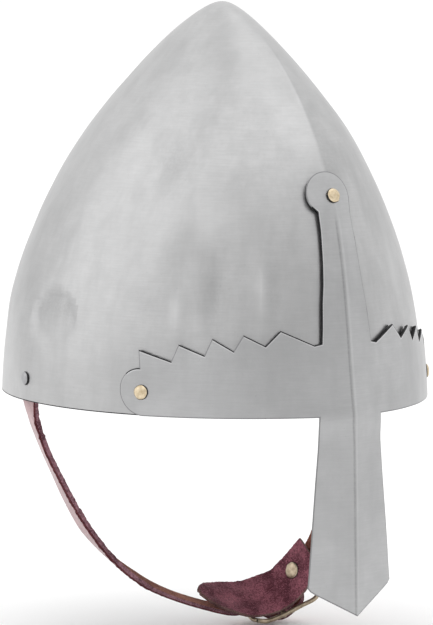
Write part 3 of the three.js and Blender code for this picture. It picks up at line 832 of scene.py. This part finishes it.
# %% A smooth line through points
def run_point(points, share):
    last = len(points) - 1
    place = min(max(share, 0), 1) * last
    k = min(int(place), last - 1)
    w = place - k
    b, c = points[k], points[k + 1]
    a = points[k - 1] if k > 0 else b * 2 - c
    d = points[k + 2] if k + 2 <= last else c * 2 - b
    ab, bc, cd = [max((q - p).length, 1e-8) ** 0.5 for p, q in ((a, b), (b, c), (c, d))]
    leave = ((b - a) / ab - (c - a) / (ab + bc) + (c - b) / bc) * bc
    reach = ((c - b) / bc - (d - b) / (bc + cd) + (d - c) / cd) * bc
    bend = c * 3 - b * 3 - leave * 2 - reach
    return b + leave * w + bend * w ** 2 + (b * 2 - c * 2 + leave + reach) * w ** 3


class Run:
    def __init__(self, rows):
        self.points = [Vector(row[:3]) for row in rows]
        self.leans = [Vector((row[3], 1, row[4])) for row in rows]
        marks = [run_point(self.points, i / 400) for i in range(401)]
        self.length = sum((q - p).length for p, q in zip(marks, marks[1:]))

    def at(self, share):
        place = min(max(share, 0), 1) * (len(self.points) - 1)
        k = min(int(place), len(self.points) - 2)
        low, high = max(share - 1e-4, 0), min(share + 1e-4, 1)
        along = (run_point(self.points, high) - run_point(self.points, low)).normalized()
        across = self.leans[k].lerp(self.leans[k + 1], place - k)
        across = (across - along * across.dot(along)).normalized()
        return run_point(self.points, share), along, across, along.cross(across).normalized()

    def on(self, share, sideways, inward):
        point, along, across, inwards = self.at(share)
        return point + across * sideways + inwards * inward


def leans_of(across):
    return across.x / across.y, across.z / across.y


print("runs ready")

# %% [markdown]
# ## The buckle
# The buckle is bent from thin brass rod: an oblong frame, arched to the chin, with a bar across
# its middle and a tongue hooked round that bar. Wire is made by setting circles along the line
# and bridging each one to the next.

# %% Bridge circles into wire
def wire_mesh(bm, places, radius, closed=False, sides=14):
    rings = []
    count = len(places)
    side = Vector((0, 0, 1))
    for i, place in enumerate(places):
        before = places[i - 1] if closed or i > 0 else place
        after = places[(i + 1) % count] if closed or i + 1 < count else place
        along = (after - before).normalized()
        side = (side - along * side.dot(along)).normalized()
        turn = Matrix((side, along.cross(side), along)).transposed().to_4x4()
        ring = bmesh.ops.create_circle(bm, cap_ends=False, radius=radius, segments=sides,
                                       matrix=Matrix.Translation(place) @ turn)["verts"]
        rings.append(list({edge for corner in ring for edge in corner.link_edges}))
    for ring, following in zip(rings, rings[1:] + (rings[:1] if closed else [])):
        bmesh.ops.bridge_loops(bm, edges=ring + following)
    if not closed:
        for ring in (rings[0], rings[-1]):
            bmesh.ops.edgeloop_fill(bm, edges=ring)
    bmesh.ops.recalc_face_normals(bm, faces=bm.faces)


def along_points(points, steps, closed=False):
    if closed:
        ring = points[-2:] + points + points[:3]
        span = len(ring) - 1
        return [run_point(ring, (2 + len(points) * i / steps) / span) for i in range(steps)]
    return [run_point(points, i / steps) for i in range(steps + 1)]


# %% Frame and middle bar
BUCKLE_RUN = [
    (41, 28, -122.6, 0, 0.22), (47.6, 26.6, -122.6, 0, 0.22), (57, 23.6, -118.4, 0, 0.24),
    (65.2, 18.8, -113.2, 0, 0.24), (73.2, 14.4, -108.2, 0, 0.26),
]
BUCKLE_HALF = 13.4
BUCKLE_WIRE = 1.2
BAR_RADIUS = 1.1
BAR_DROP = 1
FRAME_SPOTS = [
    (0.06, -1), (0.25, -1), (0.5, -1), (0.75, -1), (0.94, -1), (1, -0.82), (1, 0), (1, 0.82),
    (0.94, 1), (0.75, 1), (0.5, 1), (0.25, 1), (0.06, 1), (0, 0.82), (0, 0), (0, -0.82),
]
buckle = Run(BUCKLE_RUN)
bar_point, bar_along, bar_across, bar_inward = buckle.at(0.5)
bar_point = bar_point - bar_inward * BAR_DROP

bm = bmesh.new()
wire_mesh(bm, along_points([buckle.on(s, side * BUCKLE_HALF, 0) for s, side in FRAME_SPOTS], 120, True),
          BUCKLE_WIRE)
wire_mesh(bm, [bar_point + bar_across * (BUCKLE_HALF * i / 6) for i in range(-6, 7)], BAR_RADIUS)
new_piece("buckle_wire_frame", bm, ["buckle_frame"], [buckle_brass], sharp=50)

# %% The tongue
TONGUE_WIRE = 0.9


def near_bar(along, inward):
    return bar_point + bar_along * along + bar_inward * inward


hook = BAR_RADIUS + 0.25 + TONGUE_WIRE
hook_angles = [math.radians(a) for a in (50, 90, 130, 175)]
tongue_places = [near_bar(hook * math.cos(a), hook * math.sin(a)) for a in hook_angles]
tongue_places += [buckle.on(0.34, 0, -2.4), buckle.on(0.16, 0, -2.8), buckle.on(0.01, 0, -2.5)]
bm = bmesh.new()
wire_mesh(bm, along_points(tongue_places, 40), TONGUE_WIRE)
new_piece("tongue_wire", bm, ["buckle_tongue"], [buckle_brass], sharp=50)

# %% [markdown]
# ## Straps
# The two straps are cut from the same thick leather. A flat net of cells is extruded into a
# closed slab and bent along the run. Its outer face keeps the glaze, its back is the flesh side,
# and its long sides are cut, so they waver by a fraction of a millimetre, as a knife leaves them.

# %% Lay a net of cells along a run
def stations_on(run, longest, bend):
    shares = [0]
    last = run.at(0)
    for i in range(1, 1200):
        here = run.at(i / 1200)
        if (here[0] - last[0]).length > longest or here[1].angle(last[1]) > bend:
            shares.append(i / 1200)
            last = here
    return shares + [1]


EDGE_SPLIT = 0.36             # share of a cut side, next to the glaze, that is stained dark


def strip_mesh(run, shares, rows, half_at, thick_at, finishes, shape=None):
    """A closed strip: finish numbers for outer face, inner face, top and bottom of its sides."""
    bm = bmesh.new()
    bmesh.ops.create_grid(bm, x_segments=len(shares) - 1, y_segments=rows, size=0.5)
    grown = bmesh.ops.extrude_face_region(bm, geom=bm.faces[:])["geom"]
    bmesh.ops.translate(bm, vec=(0, 0, 1), verts=[c for c in grown if isinstance(c, bmesh.types.BMVert)])
    everything = bm.verts[:] + bm.edges[:] + bm.faces[:]
    bmesh.ops.bisect_plane(bm, geom=everything, dist=1e-4, plane_co=(0, 0, EDGE_SPLIT), plane_no=(0, 0, 1))
    for face in bm.faces:
        height = face.calc_center_median().z
        level = 0 if height < 0.01 else 1 if height > 0.99 else 2 if height < EDGE_SPLIT else 3
        face.material_index = finishes[level]
    for corner in bm.verts:
        x, y, z = corner.co
        share = shares[round((x + 0.5) * (len(shares) - 1))]
        half = half_at(share, 2 * y, z)
        swell = shape(share, 2 * y) if shape else 0
        corner.co = run.on(share, half * 2 * y, thick_at(share, 2 * y) * (z - 0.5) + swell)
    bmesh.ops.recalc_face_normals(bm, faces=bm.faces)
    print("open edges:", sum(not edge.is_manifold for edge in bm.edges))
    return bm


def knife(share, across, depth, seed, rough):
    """The long sides waver a little, and their middle stands out where the fibres are."""
    if abs(across) < 0.999:
        return 0
    fray = noise.noise(Vector((share * 900, across * 3 + depth, seed)))
    wave = noise.noise(Vector((share * 70, across * 3, seed)))
    return rough * (fray + 0.6 * wave) + (0.25 if 0 < depth < 1 else 0)


# %% The long strap, from the wearer's right
strap_finishes = [strap_glazed, strap_flesh, strap_dark, strap_raw]
STRAP_WIDTH = 14
FREE_SWELL = 0.8
LONG_RUN = [
    (-97.4, 12, 20, 0.09, 0), (-97.7, 12, 11, 0.09, 0), (-97.4, 13.2, 1, 0.12, 0),
    (-94.6, 14.8, -9, 0.3, 0.1), (-88.2, 15.5, -24.5, 0.31, 0.18), (-80.5, 15.5, -39.6, 0.25, 0.18),
    (-72.5, 15.5, -54.4, 0.15, 0.2), (-62.2, 15.5, -70, 0.02, 0.22), (-46.7, 16.5, -85.8, 0.1, 0.24),
    (-30.3, 18, -97.5, 0.2, 0.24), (-17.4, 20, -104.3, 0.14, 0.2), (-3.9, 22, -110.1, 0.08, 0.17),
    (9.4, 23.5, -114.9, 0.02, 0.17), (18.5, 24.6, -117.8, 0, 0.18), (28, 26, -120, 0, 0.2),
]
LONG_WEAVE = [(0, 2.8), (0.18, 2), (0.34, -2.4), (0.46, -6.2), (0.56, -6.6), (0.7, -4.6), (0.84, -1.8)]
weave = [(*buckle.on(share, 0, inward), *leans_of(buckle.at(share)[2])) for share, inward in LONG_WEAVE]
long_run = Run(LONG_RUN + weave)


def long_half(share, across, depth):
    left = (1 - share) * long_run.length
    nose = STRAP_WIDTH / 2
    half = nose if left > nose else max(math.sqrt(nose ** 2 - (nose - left) ** 2), 2.5)
    return half + knife(share, across, depth, 3, 0.35)


def long_thick(share, across):
    """Where the strap hangs free it has swollen, and its cut sides are ragged."""
    free = smooth((share - 0.06) / 0.1) * smooth((0.5 - share) / 0.12)
    fray = noise.noise(Vector((share * 900, across, 5))) + noise.noise(Vector((share * 210, across, 6)))
    return LEATHER + free * (FREE_SWELL + (1.1 * fray if across < -0.999 else 0))


bm = strip_mesh(long_run, stations_on(long_run, 0.9, 0.06), 6, long_half,
                long_thick, (0, 1, 2, 3))
long_strap = new_piece("long_strap", bm, ["strap_long"], strap_finishes)
round_edges(long_strap, 0.25, 45)
print("long strap, mm:", round(long_run.length))

# %% [markdown]
# The short strap comes down from the wearer's left, turns round the middle bar of the buckle and
# comes back under the leaf, where one rivet holds leaf and both legs together.

# %% The leaf's line and its rivet
LEAF_RUN = [
    (9, 23.8, -108.2, 0, 0.72), (14, 24.4, -109.6, 0, 0.74), (25, 24.8, -112.9, 0, 0.76),
    (38.8, 24.6, -115.5, 0, 0.77), (51.2, 22.8, -113.8, -0.01, 0.76), (57.8, 19.4, -110.2, -0.03, 0.72),
    (61.2, 15.2, -104.9, -0.05, 0.67), (63.4, 11.2, -99.6, -0.05, 0.66), (66.6, 5.2, -91.4, -0.05, 0.62),
]
LEAF = 1.8
LEAF_RIVET_SHARE = 0.81
LEAF_RIVET_SIDE = 2
leaf = Run(LEAF_RUN)
rivet_point, rivet_along, rivet_across, rivet_inward = leaf.at(LEAF_RIVET_SHARE)
rivet_point = rivet_point + rivet_across * LEAF_RIVET_SIDE


def under_leaf(ahead, layers):
    drop = LEAF / 2 + 0.3 + layers * (LEATHER + 0.3) - LEATHER / 2
    return rivet_point - rivet_inward * drop + rivet_along * ahead


# %% The short strap
SHORT_RUN = [
    (71.4, 9, -91, -0.05, 0.56), (75, 6.4, -81, -0.06, 0.48), (81, 6, -63.5, -0.12, 0.35),
    (87.8, 8, -42, -0.2, 0.2), (93.6, 11, -20, -0.16, 0.1), (96.7, 12, -5, -0.1, 0),
    (97.7, 12, 11, -0.09, 0), (97.4, 12, 20, -0.09, 0),
]
fold = BAR_RADIUS + 0.3 + LEATHER / 2
fold_places = [near_bar(reach, fold) for reach in (4, 0)]
fold_angles = [math.radians(a) for a in (135, 180, 225)]
fold_places += [near_bar(fold * math.cos(a), fold * math.sin(a)) for a in fold_angles]
fold_places += [near_bar(0, -fold), near_bar(4, -fold + 0.4)]
rivet_lean = leans_of(rivet_across)
rows = [(*under_leaf(ahead, 1), *rivet_lean) for ahead in (7, 0)]
rows += [(*place, *leans_of(bar_across)) for place in fold_places]
rows += [(*under_leaf(0, 2), *rivet_lean)] + SHORT_RUN
short_run = Run(rows)

bm = strip_mesh(short_run, stations_on(short_run, 0.9, 0.1), 6,
                lambda share, across, depth: STRAP_WIDTH / 2 + knife(share, across, depth, 8, 0.35),
                lambda share, across: LEATHER, (0, 1, 2, 3))
short_strap = new_piece("short_strap", bm, ["strap_short"], strap_finishes)
round_edges(short_strap, 0.25, 45)
print("short strap, mm:", round(short_run.length))

# %% [markdown]
# ## The chafe leaf
# A broad tongue of suede keeps the buckle off the chin. It is softer than the straps, so it
# dips and rises between the rivet and its free point, its outline is a little ragged, and the
# cut shows as a browner line.

# %% Net, outline and swells of the leaf
LEAF_HALF = (2, 6.8, 10.4, 12.5, 12.8, 12.4, 12.1, 11.8, 11.6)


def leaf_half(share, across, depth):
    place = min(share, 1) * (len(LEAF_HALF) - 1)
    k = min(int(place), len(LEAF_HALF) - 2)
    half = LEAF_HALF[k] + (LEAF_HALF[k + 1] - LEAF_HALF[k]) * (place - k)
    return half + knife(share, across, depth, 12, 0.4)


def leaf_swell(share, across):
    free = smooth(abs(share - LEAF_RIVET_SHARE) / 0.18)
    return 0.7 * free * noise.noise(Vector((share * 9, across * 1.4, 2)))


bm = strip_mesh(leaf, stations_on(leaf, 0.8, 0.05), 24, leaf_half, lambda share, across: LEAF,
                (0, 0, 1, 1), leaf_swell)
chafe = new_piece("chafe_leaf", bm, ["chafe"], [chafe_suede, cut_edge])
round_edges(chafe, 0.25, 45)

# %% The leaf's rivet
CHAFE_HEAD = 4.5
CHAFE_RISE = 0.7
leaf_grip = LEAF + 2 * (LEATHER + 0.3) + 2 * RIVET_GAP + 0.8
bm = rivet_mesh(leaf_grip, CHAFE_HEAD, CHAFE_RISE, 70)
stand_on(bm, rivet_point + rivet_inward * (LEAF / 2 + RIVET_GAP), rivet_inward)
new_piece("chafe_rivet", bm, ["rivet_chafe"], [buckle_brass, painted_shade_steel], sharp=50)

# %% [markdown]
# ## Floor and light
# Satin steel shows the room more than itself. A white room that is brighter overhead than at
# the horizon, and a little darker straight ahead, gives the long soft gradients. One broad lamp
# on the wearer's right lifts that side, another hangs overhead, and the floor is almost white.

# %% Floor
bm = bmesh.new()
bmesh.ops.create_circle(bm, cap_ends=True, radius=60, segments=64,
                        matrix=Matrix.Translation((0, 0, cad_box[0][2] - 0.001)))
ground = bpy.data.meshes.new("floor")
bm.to_mesh(ground)
bm.free()
f = new_finish("floor_paper")
ground.materials.append(f.surface(Base_Color=(0.93, 0.93, 0.93, 1), Roughness=0.9))
floor = bpy.data.objects.new("floor", ground)
bpy.context.scene.collection.objects.link(floor)

# %% Room light and lamps
HORIZON = 1.02
ZENITH = 1.27
FRONT_DIP = 0.2
world = bpy.data.worlds.new("room")
bpy.context.scene.world = world
f = Finish(world)
direction = f.node("ShaderNodeTexCoord", output=0)
height = f.node("ShaderNodeSeparateXYZ", {}, {0: direction}, 2)
lift = f.node("ShaderNodeMapRange", {"interpolation_type": "SMOOTHSTEP"},
              {0: height, 1: 0.0, 2: 0.85, 3: HORIZON, 4: ZENITH})
facing = f.node("ShaderNodeVectorMath", {"operation": "DOT_PRODUCT"}, {0: direction, 1: (0.05, -1, 0)}, 1)
dip = f.node("ShaderNodeMapRange", {"interpolation_type": "SMOOTHSTEP"},
             {0: facing, 1: 0.45, 2: 1.0, 3: 0.0, 4: FRONT_DIP})
shader = f.node("ShaderNodeBackground", {}, {"Color": (1, 1, 1, 1), "Strength": lift - dip})
f.node_out(shader, "ShaderNodeOutputWorld")


def lamp(name, spot, aim, size, watts):
    light = bpy.data.lights.new(name, "AREA")
    light.shape = "RECTANGLE"
    light.size, light.size_y = size
    light.energy = watts
    holder = bpy.data.objects.new(name, light)
    bpy.context.scene.collection.objects.link(holder)
    turn = (Vector(spot) - Vector(aim)).to_track_quat("Z", "Y").to_matrix().to_4x4()
    holder.matrix_world = Matrix.Translation(spot) @ turn


lamp("side_lamp", (-1.6, 0.9, 0.9), (0, 0, 0.05), (2.0, 2.0), 4.8)
lamp("top_lamp", (0.2, -0.3, 2.4), (0, 0, 0.1), (2.2, 2.2), 4)
print("lamps set")
